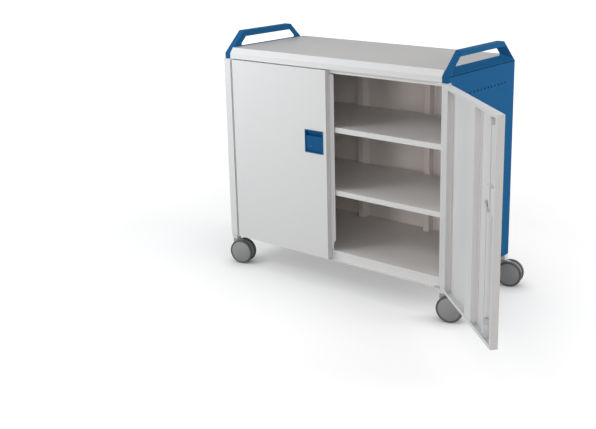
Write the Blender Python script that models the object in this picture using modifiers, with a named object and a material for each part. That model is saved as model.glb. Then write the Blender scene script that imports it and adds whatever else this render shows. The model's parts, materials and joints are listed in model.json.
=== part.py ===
"""Mobile storage cabinet: steel carcass on four twin-wheel castors, two hinged doors, two shelves and
end panels that rise into push handles.

Metres, +Z up, the doors face -Y.  The cabinet is laid out about its own centre line: x = 0 is the middle
of its width, y = 0 the front face of the closed doors and z = 0 the floor.  The root empty then moves
everything so that the origin lies on the floor under the middle of the part's bounding box.
"""
import math

import bmesh
import bpy
from mathutils import Matrix, Vector

# Overall sizes
WIDTH = 1.040  # across the outer faces of the end panels
TOP_DEPTH = 0.448  # worktop, front edge to back edge
DOOR_BOTTOM = 0.122  # underside of the doors above the floor
DOOR_HEIGHT = 0.727
DOOR_THICKNESS = 0.025
SHEET = 0.0015  # steel sheet
CLEAR = 0.0003  # gap between pieces that are fixed to each other

# Doors
DOOR_PROUD = 0.004  # how far a door overhangs the end panel's outer face
DOOR_MEETING_GAP = 0.003  # between the free edges of the two doors
DOOR_LIP = 0.012  # inward lip all round the back of a door
RIGHT_DOOR_OPENING = math.radians(140)  # how the right door stands
STILE_WIDTH = 0.040  # rounded profile that carries the hinge pins
STILE_WALL = 0.0018
STILE_PLUG = 0.014  # solid ends of the profile
SHADOW_GROOVE = 0.0105  # recess between the profile and the door's face
GROOVE_DEPTH = 0.015
STIFFENER_START = 0.256  # hat section, from the hinge axis
STIFFENER_WIDTH = 0.062
STIFFENER_FLANGE = 0.014

# Pulls
PULL_SIZE = 0.088  # square face of the recessed pull
PULL_MARGIN = 0.0145  # from the door's free edge
PULL_BOTTOM = 0.532  # above the floor
PULL_FLANGE = 0.0022  # thickness of the rim in front of the door
PULL_RIM = 0.0023  # how far the rim overlaps the hole in the door
PULL_BODY = 0.015  # how far the body reaches behind the face of the door
POCKET_BORDER = 0.005
POCKET_TOP = 0.001  # back of the finger pocket behind the face of the door, at its top
POCKET_DEPTH = 0.013  # and behind the edge of the grip plate, which the fingers hook
PLATE_DROP = 0.023  # upper edge of the grip plate from the top of the pull
PLATE_FACE = 0.0005  # behind the face of the door
PLATE_TURN = 0.004  # how far the plate's foot turns back
PLATE_TURN_HEIGHT = 0.013

# Locks: a plug in the pull turns a cam behind it, and the cam's pins drive two rods
LOCK_FROM_PULL_SIDE = 0.028  # lock axis from the side of the pull that is nearer the hinge
LOCK_FROM_PULL_BOTTOM = 0.025
PLUG_RADIUS = 0.007
PLUG_PROUD = 0.0008  # how far the plug stands out of the grip plate
PLUG_TAIL = 0.0037  # radius of its tail between the rods
CAM_ARM = 0.014  # lock axis to each pin
CAM_START = -45  # degrees, from the level line towards the free edge
CAM_HALF_WIDTH = 0.006
CAM_THICKNESS = 0.0025
CAM_PIN = 0.002  # radius
PIN_PLAY = 0.0007  # above and below a pin in the slot of its rod
ROD_FRONT = 0.0165  # behind the face of the door
ROD_THICKNESS = 0.003
ROD_WIDTH = 0.008
ROD_HEAD_WIDTH = 0.014
ROD_HEAD_HEIGHT = 0.012
ROD_END_INSET = 0.0005  # rod tips inside the ends of the door when the lock is open
ROD_SLOT_CLEAR = 0.0006
GUIDE_HEIGHT = 0.020
GUIDE_FROM_TOP = 0.031  # middle of the upper guide from the top of the door
GUIDE_FROM_BOTTOM = 0.058  # middle of the lower guide from the bottom of the door
GUIDE_FLANGE = 0.008
GUIDE_CLEAR = 0.0005

# Closing strip on the left door, which the right door shuts against
STRIP_THICKNESS = 0.002
STRIP_OVER_LEFT = 0.0145
STRIP_OVER_RIGHT = 0.0175
STRIP_END_GAP = 0.0025  # to the floor tray and to the top rail
STRIP_NOTCH = 0.010
STRIP_NOTCH_HEIGHT = 0.025
STRIP_SLOPE = 0.015

# Worktop
TOP_GAP = 0.003  # between the doors and the worktop
TOP_SETBACK = 0.012  # worktop edge behind the face of the doors
TOP_EDGE = 0.0205  # upright part of the front edge
CHAMFER_RUN = 0.016
CHAMFER_RISE = 0.0205

# Carcass
CARCASS_GAP = 0.0015  # between the doors and the carcass
END_PANEL = 0.027  # thickness of an end panel
PANEL_RAISE = 0.002  # underside of the end panels above the underside of the doors
TRAY_DROP = 0.003  # underside of the floor tray below the doors
TRAY_HEIGHT = 0.0345
TRAY_LIP = 0.0155  # forward fold under the doors, which takes the lower rods
POST_FACE = 0.037
POST_DEPTH = 0.040
POST_LIP = 0.0085
TOP_RAIL_HEIGHT = 0.0147
TOP_RAIL_DEPTH = 0.040
BACK_PANEL = 0.0037
UPRIGHT_WIDTH = 0.026
UPRIGHT_DEPTH = 0.035
UPRIGHT_FLANGE = 0.010
LINER_RETURN = 0.006
SHELF_SETBACK = 0.032  # front of the shelves behind the face of the doors
SHELF_LIP = 0.020
SHELF_TOPS = {"lower_shelf": 0.3925, "upper_shelf": 0.635}

# Vent row in the end panels
VENT_COUNT = 14
VENT_PITCH = 0.024
VENT_RADIUS = 0.004
VENT_DROP = 0.0725  # below the top of the end panel
VENT_SIDES = 10

# Push handles
HANDLE_RISE = 0.080  # above the end panel
HANDLE_SLOPE = 0.084  # how far each leg leans inwards over its height
HANDLE_FOOT = 0.0235  # beam under the grip opening, on the side towards the worktop
HANDLE_FOOT_OUT = 0.002  # and on the outer side, because the opening widens outwards
HANDLE_BAR = 0.0235  # height of the grip bar
HANDLE_BAR_OUT = 0.0195
HANDLE_LEG = 0.034  # width of a leg, measured level
HANDLE_LEG_OUT = 0.006
HANDLE_EDGE = 0.002  # rounded edges
HANDLE_CORNER = 0.010
GRIP_CORNER = 0.005
FUNNEL_OVERRUN = 0.1  # how far a tapering cutter runs past each face, as a share of its length

# Hinges
PIN_RADIUS = 0.004
PIN_CLEAR = 0.0003
PIN_LENGTH = 0.012
HINGE_PLATE = 0.002
HINGE_PLATE_WIDTH = 0.046

# Castors
WHEEL_RADIUS = 0.050
WHEEL_WIDTH = 0.0205
WHEEL_STEPS = 32
WHEEL_FACE = (  # share of the radius, and how far behind the middle of the face
    (0.0, 0.0),
    (0.62, 0.001),
    (0.74, 0.003),
    (0.77, 0.0005),
    (0.90, 0.0005),
    (0.97, 0.0035),
    (1.0, 0.008),
)
WHEEL_INNER_EDGE = 0.006  # width of the slope on the side towards the hood
WHEEL_INNER_SHARE = 0.94  # where that slope ends, as a share of the radius
HOOD_THICKNESS = 0.016
HOOD_RADIUS = 0.045
HOOD_ARC = (-30, 84)  # degrees about the axle, from behind to above
HOOD_NECK = 0.020  # straight front under the stem
AXLE_BOSS = 0.014
AXLE_BOSS_ARC = (180, 300)  # degrees
AXLE_RADIUS = 0.005
AXLE_CLEAR = 0.0003
AXLE_IN_WHEEL = 0.0145
CASTOR_TRAIL = 0.028  # swivel axis to axle
HOOD_TOP = 0.1015
STEM_BOSS = 0.013
STEM_RADIUS = 0.0055
STEM_IN_SOCKET = 0.012
SWIVEL_GAP = 0.0005
SOCKET_SIZE = 0.026
SOCKET_EDGE = 0.002
CASTOR_SETBACK = 0.020  # front swivel axes behind the face of the doors
CASTOR_TURN = {"front_left": 14, "front_right": 14, "rear_left": 6, "rear_right": 14}  # degrees at rest

# Fineness of round and folded shapes
ARC_STEP = 15  # degrees
ROUND_SIDES = 24
PIN_SIDES = 12
PLUG_STEPS = 20
CORNER_STEPS = 4
EDGE_SEGMENTS = 2
EDGE_ANGLE = math.radians(30)  # edges sharper than this are rounded
SHARP_ANGLE = math.radians(40)  # edges sharper than this stay sharp in the shading of a cylinder
WELD = 1e-6  # points closer than this are one
SAME_WAY = 0.999  # cosine between the normals of faces that look one way

# Colours and finishes
LIGHT_GREY = (0.62, 0.63, 0.63)
BLUE = (0.017, 0.107, 0.262)
WHEEL_GREY = (0.20, 0.21, 0.21)
HOOD_GREY = (0.26, 0.27, 0.27)
STEEL = (0.55, 0.55, 0.56)
COAT_ROUGHNESS = 0.45
BLUE_ROUGHNESS = 0.42
STEEL_ROUGHNESS = 0.3
PLASTIC_ROUGHNESS = 0.5

# Levels and planes that follow from the sizes
DOOR_TOP = DOOR_BOTTOM + DOOR_HEIGHT
TOP_UNDERSIDE = DOOR_TOP + TOP_GAP
HANDLE_SEAM = TOP_UNDERSIDE + TOP_EDGE
TOP_SURFACE = HANDLE_SEAM + CHAMFER_RISE
TRAY_BOTTOM = DOOR_BOTTOM - TRAY_DROP
FLOOR = TRAY_BOTTOM + TRAY_HEIGHT
PANEL_BOTTOM = DOOR_BOTTOM + PANEL_RAISE
CARCASS_TOP = TOP_UNDERSIDE - CLEAR
FRONT = DOOR_THICKNESS + CARCASS_GAP
TOP_FRONT = TOP_SETBACK
BACK = TOP_SETBACK + TOP_DEPTH
SIDE = WIDTH / 2
INSIDE = SIDE - END_PANEL - CLEAR
PANEL_FRONT = FRONT + SHEET + CLEAR
POST_INNER = SIDE - POST_FACE
WALL_BACK = BACK - BACK_PANEL - CLEAR
UPRIGHT_FRONT = WALL_BACK - UPRIGHT_DEPTH
TOP_RAIL_BOTTOM = CARCASS_TOP - TOP_RAIL_HEIGHT
NOSE = DOOR_THICKNESS / 2
HINGE_X = SIDE + DOOR_PROUD - NOSE
HINGE_Y = NOSE
DOOR_REACH = HINGE_X - DOOR_MEETING_GAP / 2
SHELL_START = STILE_WIDTH - NOSE + SHADOW_GROOVE
PULL_FAR = DOOR_REACH - PULL_MARGIN
PULL_NEAR = PULL_FAR - PULL_SIZE
LOCK_U = PULL_NEAR + LOCK_FROM_PULL_SIDE
LOCK_Z = PULL_BOTTOM + LOCK_FROM_PULL_BOTTOM
CAM_RISE = CAM_ARM * math.sin(math.radians(-CAM_START))
ROD_OFFSET = (CAM_ARM + CAM_ARM * math.cos(math.radians(CAM_START))) / 2
ROD_BACK = ROD_FRONT + ROD_THICKNESS
CAM_FRONT = ROD_BACK + GUIDE_CLEAR
AXLE_HEIGHT = WHEEL_RADIUS * math.cos(math.pi / WHEEL_STEPS)
SOCKET_BOTTOM = HOOD_TOP + SWIVEL_GAP
CASTOR_X = SIDE - SOCKET_SIZE / 2
CASTOR_FRONT = CASTOR_SETBACK
CASTOR_BACK = BACK - SOCKET_SIZE / 2

# Axes of the planes that outlines are drawn in: local x, y and the direction of the thickness
IN_YZ = Matrix(((0, 0, 1, 0), (1, 0, 0, 0), (0, 1, 0, 0), (0, 0, 0, 1)))
IN_XZ = Matrix(((1, 0, 0, 0), (0, 0, -1, 0), (0, 1, 0, 0), (0, 0, 0, 1)))
IN_XY = Matrix.Identity(4)


def clear_scene():
    """Remove whatever the scene holds, and return the two collections for parts and cutters."""
    for thing in list(bpy.data.objects):
        bpy.data.objects.remove(thing, do_unlink=True)
    groups = []
    for name in ("mobile_storage_cabinet", "cutters"):
        group = bpy.data.collections.new(name)
        bpy.context.scene.collection.children.link(group)
        groups.append(group)
    return groups


PARTS, CUTTERS = clear_scene()


def finish(name, colour, roughness, metallic=0.0):
    """A Principled material."""
    mat = bpy.data.materials.new(name)
    mat.use_nodes = True
    shader = mat.node_tree.nodes["Principled BSDF"]
    shader.inputs["Base Color"].default_value = (*colour, 1.0)
    shader.inputs["Roughness"].default_value = roughness
    shader.inputs["Metallic"].default_value = metallic
    mat.diffuse_color = (*colour, 1.0)
    return mat


def powder_coat(name):
    return finish(name + "_coat", LIGHT_GREY, COAT_ROUGHNESS)


def blue_coat(name):
    return finish(name + "_blue", BLUE, BLUE_ROUGHNESS)


def bare_steel(name):
    return finish(name + "_steel", STEEL, STEEL_ROUGHNESS, metallic=1.0)


def empty(name, parent=None, location=(0, 0, 0), turn=0.0):
    """An empty that carries the pieces of one moving body."""
    holder = bpy.data.objects.new(name, None)
    PARTS.objects.link(holder)
    holder.parent = parent
    holder.location = location
    holder.rotation_euler.z = turn
    return holder


def part(name, mesh, material, parent):
    """A named piece with its own material."""
    thing = bpy.data.objects.new(name, mesh)
    mesh.materials.clear()
    mesh.materials.append(material)
    PARTS.objects.link(thing)
    thing.parent = parent
    return thing


def to_mesh(bm, name):
    """Close a bmesh into a mesh whose faces point out."""
    bmesh.ops.recalc_face_normals(bm, faces=bm.faces[:])
    mesh = bpy.data.meshes.new(name)
    bm.to_mesh(mesh)
    bm.free()
    return mesh


def box_bmesh(low, high):
    """A box between two corners, given in any order."""
    low, high = Vector(low), Vector(high)
    bm = bmesh.new()
    bmesh.ops.create_cube(bm, size=1.0)
    size = [abs(h - l) for l, h in zip(low, high)]
    bmesh.ops.scale(bm, vec=size, verts=bm.verts)
    bmesh.ops.translate(bm, vec=(low + high) / 2, verts=bm.verts)
    return bm


def box_mesh(name, low, high):
    return to_mesh(box_bmesh(low, high), name)


def pan_mesh(name, low, high, open_side, lip=0.0):
    """A folded sheet tray: a box with one side open, and an inward lip round that side if it has one."""
    bm = box_bmesh(low, high)
    direction = Vector(open_side)
    face = max(bm.faces, key=lambda f: f.normal.dot(direction))
    if lip:
        bmesh.ops.inset_region(bm, faces=[face], thickness=lip, use_even_offset=True)
    bmesh.ops.delete(bm, geom=[face], context="FACES")
    mesh = bpy.data.meshes.new(name)
    bm.to_mesh(mesh)
    bm.free()
    return mesh


def strip_mesh(name, points, direction):
    """A folded sheet section: an open line of points drawn along a direction."""
    bm = bmesh.new()
    verts = [bm.verts.new(p) for p in points]
    edges = [bm.edges.new(pair) for pair in zip(verts, verts[1:])]
    drawn = bmesh.ops.extrude_edge_only(bm, edges=edges)["geom"]
    moved = [v for v in drawn if isinstance(v, bmesh.types.BMVert)]
    bmesh.ops.translate(bm, vec=direction, verts=moved)
    mesh = bpy.data.meshes.new(name)
    bm.to_mesh(mesh)
    bm.free()
    return mesh


def outline_mesh(name, loops, plane, start, end):
    """A flat outline, with any holes, given a thickness from start to end across its plane."""
    curve = bpy.data.curves.new(name, "CURVE")
    curve.dimensions = "2D"
    curve.fill_mode = "BOTH"
    curve.extrude = abs(end - start) / 2
    for loop in loops:
        spline = curve.splines.new("POLY")
        spline.points.add(len(loop) - 1)
        for point, (x, y) in zip(spline.points, loop):
            point.co = (x, y, 0, 1)
        spline.use_cyclic_u = True
    holder = bpy.data.objects.new(name, curve)
    bpy.context.scene.collection.objects.link(holder)
    graph = bpy.context.evaluated_depsgraph_get()
    flat = bpy.data.meshes.new_from_object(holder.evaluated_get(graph))
    bpy.data.objects.remove(holder, do_unlink=True)
    bm = bmesh.new()
    bm.from_mesh(flat)
    bpy.data.meshes.remove(flat)
    bmesh.ops.remove_doubles(bm, verts=bm.verts, dist=WELD)
    bmesh.ops.translate(bm, vec=(0, 0, (start + end) / 2), verts=bm.verts)
    bmesh.ops.transform(bm, matrix=plane, verts=bm.verts)
    return to_mesh(bm, name)


def funnel_mesh(name, narrow, wide, start, end):
    """A tapering cutter across the YZ plane, from one outline to another with as many points."""
    bm = bmesh.new()
    rings = []
    for share in (-FUNNEL_OVERRUN, 1 + FUNNEL_OVERRUN):
        x = start + share * (end - start)
        points = [Vector(a).lerp(Vector(b), share) for a, b in zip(narrow, wide)]
        rings.append([bm.verts.new((x, y, z)) for y, z in points])
    for ring in rings:
        bm.faces.new(ring)
    for i in range(len(narrow)):
        bm.faces.new((rings[0][i - 1], rings[0][i], rings[1][i], rings[1][i - 1]))
    return to_mesh(bm, name)


def open_face(mesh, direction):
    """Take the flat faces that look one way out of a closed mesh, to leave an open shell."""
    bm = bmesh.new()
    bm.from_mesh(mesh)
    way = Vector(direction)
    gone = [f for f in bm.faces if f.normal.dot(way) > SAME_WAY]
    bmesh.ops.delete(bm, geom=gone, context="FACES")
    bm.to_mesh(mesh)
    bm.free()
    return mesh


def round_mesh(name, radius, start, end, axis, sides=ROUND_SIDES):
    """A cylinder along X, Y or Z from start to end, with its axis through the origin."""
    bm = bmesh.new()
    size = {"radius1": radius, "radius2": radius, "depth": end - start}
    bmesh.ops.create_cone(bm, cap_ends=True, segments=sides, **size)
    bmesh.ops.translate(bm, vec=(0, 0, (start + end) / 2), verts=bm.verts)
    turn = {"X": Matrix.Rotation(math.pi / 2, 4, "Y"), "Y": Matrix.Rotation(-math.pi / 2, 4, "X"), "Z": IN_XY}
    bmesh.ops.transform(bm, matrix=turn[axis], verts=bm.verts)
    mesh = to_mesh(bm, name)
    mesh.shade_smooth()
    mesh.set_sharp_from_angle(angle=SHARP_ANGLE)
    return mesh


def solidify(thing, thickness=SHEET, offset=-1.0):
    """Give a sheet its thickness: offset -1 keeps the outer faces, 0 the middle of the sheet."""
    mod = thing.modifiers.new("sheet", "SOLIDIFY")
    mod.thickness = thickness
    mod.offset = offset
    mod.use_even_offset = True


def soften(thing, width):
    """Round the edges of a piece."""
    mod = thing.modifiers.new("edges", "BEVEL")
    mod.width = width
    mod.segments = EDGE_SEGMENTS
    mod.limit_method = "ANGLE"
    mod.angle_limit = EDGE_ANGLE


def combine(thing, mesh, location=(0, 0, 0), operation="DIFFERENCE"):
    """Cut a shape out of a piece, or join it on, in the frame of the piece's parent."""
    tool = bpy.data.objects.new(thing.name + "_tool", mesh)
    CUTTERS.objects.link(tool)
    tool.parent = thing.parent
    tool.location = location
    tool.hide_render = True
    tool.display_type = "WIRE"
    mod = thing.modifiers.new("cut" if operation == "DIFFERENCE" else "join", "BOOLEAN")
    mod.operation = operation
    mod.solver = "EXACT"
    mod.object = tool


def arc(centre, radius, start, end):
    """Points on an arc, angles in degrees."""
    steps = math.ceil(abs(end - start) / ARC_STEP)
    turns = [math.radians(start + (end - start) * i / steps) for i in range(steps + 1)]
    return [(centre[0] + radius * math.cos(t), centre[1] + radius * math.sin(t)) for t in turns]


def rounded(corners, radius):
    """A polygon with its corners rounded to one radius."""
    points = []
    count = len(corners)
    for i, corner in enumerate(corners):
        here = Vector(corner)
        back = (Vector(corners[i - 1]) - here).normalized()
        ahead = (Vector(corners[(i + 1) % count]) - here).normalized()
        half = back.angle(ahead) / 2
        middle = here + (back + ahead).normalized() * (radius / math.sin(half))
        first = here + back * (radius / math.tan(half)) - middle
        last = here + ahead * (radius / math.tan(half)) - middle
        for k in range(CORNER_STEPS + 1):
            spoke = first.lerp(last, k / CORNER_STEPS).normalized() * radius
            points.append(tuple(middle + spoke))
    return points


def mirrored(points, side):
    """Points drawn for the right side, turned over for the left one."""
    return [(side * p[0], *p[1:]) for p in points]


# Carcass

def build_floor_tray(root):
    """Folded tray, open underneath; its front edge turns forward under the doors, with slots for the rods."""
    low = (-INSIDE, FRONT, TRAY_BOTTOM)
    high = (INSIDE, WALL_BACK, FLOOR)
    mesh = pan_mesh("base_tray", low, high, (0, 0, -1))
    bm = bmesh.new()
    bm.from_mesh(mesh)
    edge = min(bm.edges, key=lambda e: sum(v.co.y + v.co.z for v in e.verts))
    fold = bmesh.ops.extrude_edge_only(bm, edges=[edge])["geom"]
    lip = [v for v in fold if isinstance(v, bmesh.types.BMVert)]
    bmesh.ops.translate(bm, vec=(0, -TRAY_LIP, 0), verts=lip)
    bm.to_mesh(mesh)
    bm.free()
    tray = part("base_tray", mesh, powder_coat("base_tray"), root)
    solidify(tray)
    hinge = SIDE - HINGE_PLATE_WIDTH - CLEAR
    lock = HINGE_X - LOCK_U + ROD_OFFSET
    half = ROD_WIDTH / 2 + 2 * ROD_SLOT_CLEAR
    for side in (-1, 1):
        front = FRONT - 2 * TRAY_LIP
        below, above = TRAY_BOTTOM - 3 * SHEET, TRAY_BOTTOM + 2 * SHEET
        corner = box_mesh("tray_corner", (side * hinge, front, below), (side * SIDE, FRONT - CLEAR, above))
        combine(tray, corner)
        near = (side * lock - half, ROD_FRONT - 2 * ROD_SLOT_CLEAR, below)
        far = (side * lock + half, ROD_BACK + 2 * ROD_SLOT_CLEAR, above)
        combine(tray, box_mesh("tray_slot", near, far))


def build_back_panel(root):
    low = (-INSIDE, WALL_BACK + CLEAR, TRAY_BOTTOM)
    high = (INSIDE, BACK - CLEAR, CARCASS_TOP)
    panel = part("back_panel", pan_mesh("back_panel", low, high, (0, -1, 0)), powder_coat("back_panel"), root)
    solidify(panel)


def build_end_panel(root, name, side):
    """A cassette, open towards the inside, whose top comes forward over the door; a vent row near the top."""
    step = TOP_UNDERSIDE
    top = HANDLE_SEAM - CLEAR
    outline = [
        (PANEL_FRONT, PANEL_BOTTOM),
        (BACK, PANEL_BOTTOM),
        (BACK, top),
        (TOP_FRONT, top),
        (TOP_FRONT, step),
        (PANEL_FRONT, step),
    ]
    inner, outer = side * (SIDE - END_PANEL), side * SIDE
    mesh = outline_mesh(name, [outline], IN_YZ, inner, outer)
    panel = part(name, open_face(mesh, (-side, 0, 0)), blue_coat(name), root)
    solidify(panel)
    middle = (TOP_FRONT + BACK) / 2
    first = middle - VENT_PITCH * (VENT_COUNT - 1) / 2
    height = HANDLE_SEAM - VENT_DROP
    across = Matrix.Rotation(math.pi / 2, 4, "Y")
    bm = bmesh.new()
    for i in range(VENT_COUNT):
        bmesh.ops.create_cone(
            bm,
            cap_ends=True,
            segments=VENT_SIDES,
            radius1=VENT_RADIUS,
            radius2=VENT_RADIUS,
            depth=4 * SHEET,
            matrix=Matrix.Translation((outer, first + i * VENT_PITCH, height)) @ across,
        )
    combine(panel, to_mesh(bm, name + "_vents"))


def build_handle(root, name, side):
    """Push handle: a trapezoid frame on the end panel, with a grip opening that widens outwards."""
    low, high = HANDLE_SEAM, HANDLE_SEAM + HANDLE_RISE
    outer = [
        (TOP_FRONT, low),
        (BACK, low),
        (BACK - HANDLE_SLOPE, high),
        (TOP_FRONT + HANDLE_SLOPE, high),
    ]
    top = rounded(outer, HANDLE_CORNER)
    corner_points = len(top) // len(outer)
    profile = outer[:2] + top[2 * corner_points:]
    start, end = side * (SIDE - END_PANEL), side * SIDE
    mesh = outline_mesh(name, [profile], IN_YZ, start, end)
    handle = part(name, mesh, blue_coat(name), root)
    soften(handle, HANDLE_EDGE)
    narrow = grip_outline(HANDLE_LEG, HANDLE_FOOT, HANDLE_BAR)
    wide = grip_outline(HANDLE_LEG_OUT, HANDLE_FOOT_OUT, HANDLE_BAR_OUT)
    combine(handle, funnel_mesh(name + "_grip", narrow, wide, start, end))


def grip_outline(leg, foot, bar):
    """The opening of a handle, inside legs, foot and bar of the given sizes."""
    lean = HANDLE_SLOPE / HANDLE_RISE
    low, high = HANDLE_SEAM + foot, HANDLE_SEAM + HANDLE_RISE - bar
    low_inset = lean * foot + leg
    high_inset = lean * (HANDLE_RISE - bar) + leg
    corners = [
        (TOP_FRONT + low_inset, low),
        (BACK - low_inset, low),
        (BACK - high_inset, high),
        (TOP_FRONT + high_inset, high),
    ]
    return rounded(corners, GRIP_CORNER)


def build_worktop(root):
    """Folded top with a sloping front edge, open underneath."""
    outline = [
        (TOP_FRONT, TOP_UNDERSIDE),
        (BACK, TOP_UNDERSIDE),
        (BACK, TOP_SURFACE),
        (TOP_FRONT + CHAMFER_RUN, TOP_SURFACE),
        (TOP_FRONT, HANDLE_SEAM),
    ]
    mesh = outline_mesh("top_board", [outline], IN_YZ, -INSIDE, INSIDE)
    board = part("top_board", open_face(mesh, (0, 0, -1)), powder_coat("top_board"), root)
    solidify(board)


def build_top_rail(root):
    """Angle under the worktop's front, between the posts."""
    half = POST_INNER - CLEAR
    face = FRONT + SHEET / 2
    shelf = CARCASS_TOP - SHEET / 2
    line = [(-half, face, TOP_RAIL_BOTTOM), (-half, face, shelf), (-half, face + TOP_RAIL_DEPTH, shelf)]
    mesh = strip_mesh("top_front_rail", line, (2 * half, 0, 0))
    rail = part("top_front_rail", mesh, powder_coat("top_front_rail"), root)
    solidify(rail, offset=0.0)


def build_front_post(root, name, side):
    """Folded post: its face also covers the front edge of the end panel, down to the tray's underside."""
    face, leg = FRONT + SHEET / 2, POST_INNER + SHEET / 2
    back = FRONT + POST_DEPTH
    line = [(SIDE - CLEAR, face), (leg, face), (leg, back), (leg + POST_LIP, back)]
    points = mirrored([(x, y, TRAY_BOTTOM) for x, y in line], side)
    mesh = strip_mesh(name, points, (0, 0, CARCASS_TOP - TRAY_BOTTOM))
    post = part(name, mesh, powder_coat(name), root)
    solidify(post, offset=0.0)
    low = (side * (POST_INNER - SHEET), FRONT - SHEET, TRAY_BOTTOM - SHEET)
    high = (side * (INSIDE + CLEAR), FRONT + 2 * POST_DEPTH, FLOOR + CLEAR)
    combine(post, box_mesh(name + "_foot", low, high))


def build_rear_post(root, name, side):
    """Channel in the back corner, open towards the end panel."""
    leg = POST_INNER + SHEET / 2
    tip = leg + POST_LIP - SHEET
    back = WALL_BACK - CLEAR - SHEET / 2
    front = back - UPRIGHT_DEPTH + SHEET
    line = [(tip, front), (leg, front), (leg, back), (tip, back)]
    low = FLOOR + CLEAR
    points = mirrored([(x, y, low) for x, y in line], side)
    post = part(name, strip_mesh(name, points, (0, 0, CARCASS_TOP - low)), powder_coat(name), root)
    solidify(post, offset=0.0)


def build_upright(root, name, middle):
    """Hat section on the back panel, a third of the way along."""
    half = UPRIGHT_WIDTH / 2 - SHEET / 2
    foot = half + UPRIGHT_FLANGE
    front = UPRIGHT_FRONT + SHEET / 2
    back = WALL_BACK - CLEAR - SHEET / 2
    line = [(-foot, back), (-half, back), (-half, front), (half, front), (half, back), (foot, back)]
    low = FLOOR + CLEAR
    points = [(middle + x, y, low) for x, y in line]
    mesh = strip_mesh(name, points, (0, 0, CARCASS_TOP - low))
    upright = part(name, mesh, powder_coat(name), root)
    solidify(upright, offset=0.0)


def build_liner(root, name, side):
    """Inner lining of an end panel, between its two posts."""
    front = FRONT + POST_DEPTH + SHEET / 2 + CLEAR
    back = UPRIGHT_FRONT - 2 * CLEAR
    low = (side * (INSIDE - LINER_RETURN), front, FLOOR + CLEAR)
    high = (side * INSIDE, back, CARCASS_TOP)
    liner = part(name, pan_mesh(name, low, high, (side, 0, 0)), powder_coat(name), root)
    solidify(liner)


def build_shelf(root, name, top):
    half = POST_INNER - CLEAR
    low = (-half, SHELF_SETBACK, top - SHELF_LIP)
    high = (half, UPRIGHT_FRONT - CLEAR, top)
    shelf = part(name, pan_mesh(name, low, high, (0, 0, -1)), powder_coat(name), root)
    solidify(shelf)


def build_hinge(root, name, side, upper):
    """Plate fixed to the carcass, with the pin that a door turns on."""
    if upper:
        low, high = CARCASS_TOP - HINGE_PLATE, CARCASS_TOP
        pin_low, pin_high = DOOR_TOP - PIN_LENGTH, low + HINGE_PLATE / 2
    else:
        low, high = TRAY_BOTTOM, TRAY_BOTTOM + HINGE_PLATE
        pin_low, pin_high = high - HINGE_PLATE / 2, DOOR_BOTTOM + PIN_LENGTH
    outer = HINGE_X + NOSE - DOOR_PROUD
    near, far = side * (outer - HINGE_PLATE_WIDTH), side * outer
    mesh = box_mesh(name, (near, HINGE_Y - 2 * PIN_RADIUS, low), (far, FRONT - CLEAR, high))
    plate = part(name, mesh, bare_steel(name), root)
    pin = round_mesh(name + "_pin", PIN_RADIUS, pin_low, pin_high, "Z")
    combine(plate, pin, (side * HINGE_X, HINGE_Y, 0), "UNION")


# Doors, each drawn from its hinge axis: u runs towards the free edge

def door_point(side, u, y, z=0.0):
    return (-side * u, y - HINGE_Y, z)


def stile_outline(side, inset=0.0):
    """Rounded hinge profile in plan, with the tongue that carries the door; inset draws its hollow."""
    flat = STILE_WIDTH - NOSE - inset
    radius = NOSE - inset
    nose = [(-u, y) for u, y in arc((0, 0), radius, -90, 90)]
    if inset:
        inner = [(flat, radius), (flat, -radius)]
    else:
        tongue = SHELL_START - CLEAR
        step = GROOVE_DEPTH - NOSE
        inner = [(tongue, radius), (tongue, step), (flat, step), (flat, -radius)]
    return [(-side * u, y) for u, y in nose + inner]


def build_stile(door, name, side):
    low, high = DOOR_BOTTOM, DOOR_TOP
    stile = part(name, outline_mesh(name, [stile_outline(side)], IN_XY, low, high), powder_coat(name), door)
    inside = [stile_outline(side, STILE_WALL)]
    hollow = outline_mesh(name + "_hollow", inside, IN_XY, low + STILE_PLUG, high - STILE_PLUG)
    combine(stile, hollow)
    bore = PIN_RADIUS + PIN_CLEAR
    for end in (low, high):
        reach = STILE_PLUG + SHEET
        combine(stile, round_mesh(name + "_bore", bore, end - reach, end + reach, "Z"))


def build_shell(door, name, side):
    """The door's folded tray, with a square hole for its pull and slots in its end folds for the rods."""
    low = door_point(side, SHELL_START, 0, DOOR_BOTTOM)
    high = door_point(side, DOOR_REACH, DOOR_THICKNESS, DOOR_TOP)
    shell = part(name, pan_mesh(name, low, high, (0, 1, 0), DOOR_LIP), powder_coat(name), door)
    solidify(shell)
    border = PULL_RIM - CLEAR
    near = door_point(side, PULL_NEAR + border, -2 * SHEET, PULL_BOTTOM + border)
    far = door_point(side, PULL_FAR - border, 2 * SHEET, PULL_BOTTOM + PULL_SIZE - border)
    combine(shell, box_mesh(name + "_hole", near, far))
    half = ROD_WIDTH / 2 + ROD_SLOT_CLEAR
    front, back = ROD_FRONT - ROD_SLOT_CLEAR, ROD_BACK + ROD_SLOT_CLEAR
    for u, end in ((LOCK_U + ROD_OFFSET, DOOR_TOP), (LOCK_U - ROD_OFFSET, DOOR_BOTTOM)):
        near = door_point(side, u - half, front, end - 2 * SHEET)
        far = door_point(side, u + half, back, end + 2 * SHEET)
        combine(shell, box_mesh(name + "_rod_slot", near, far))


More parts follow.
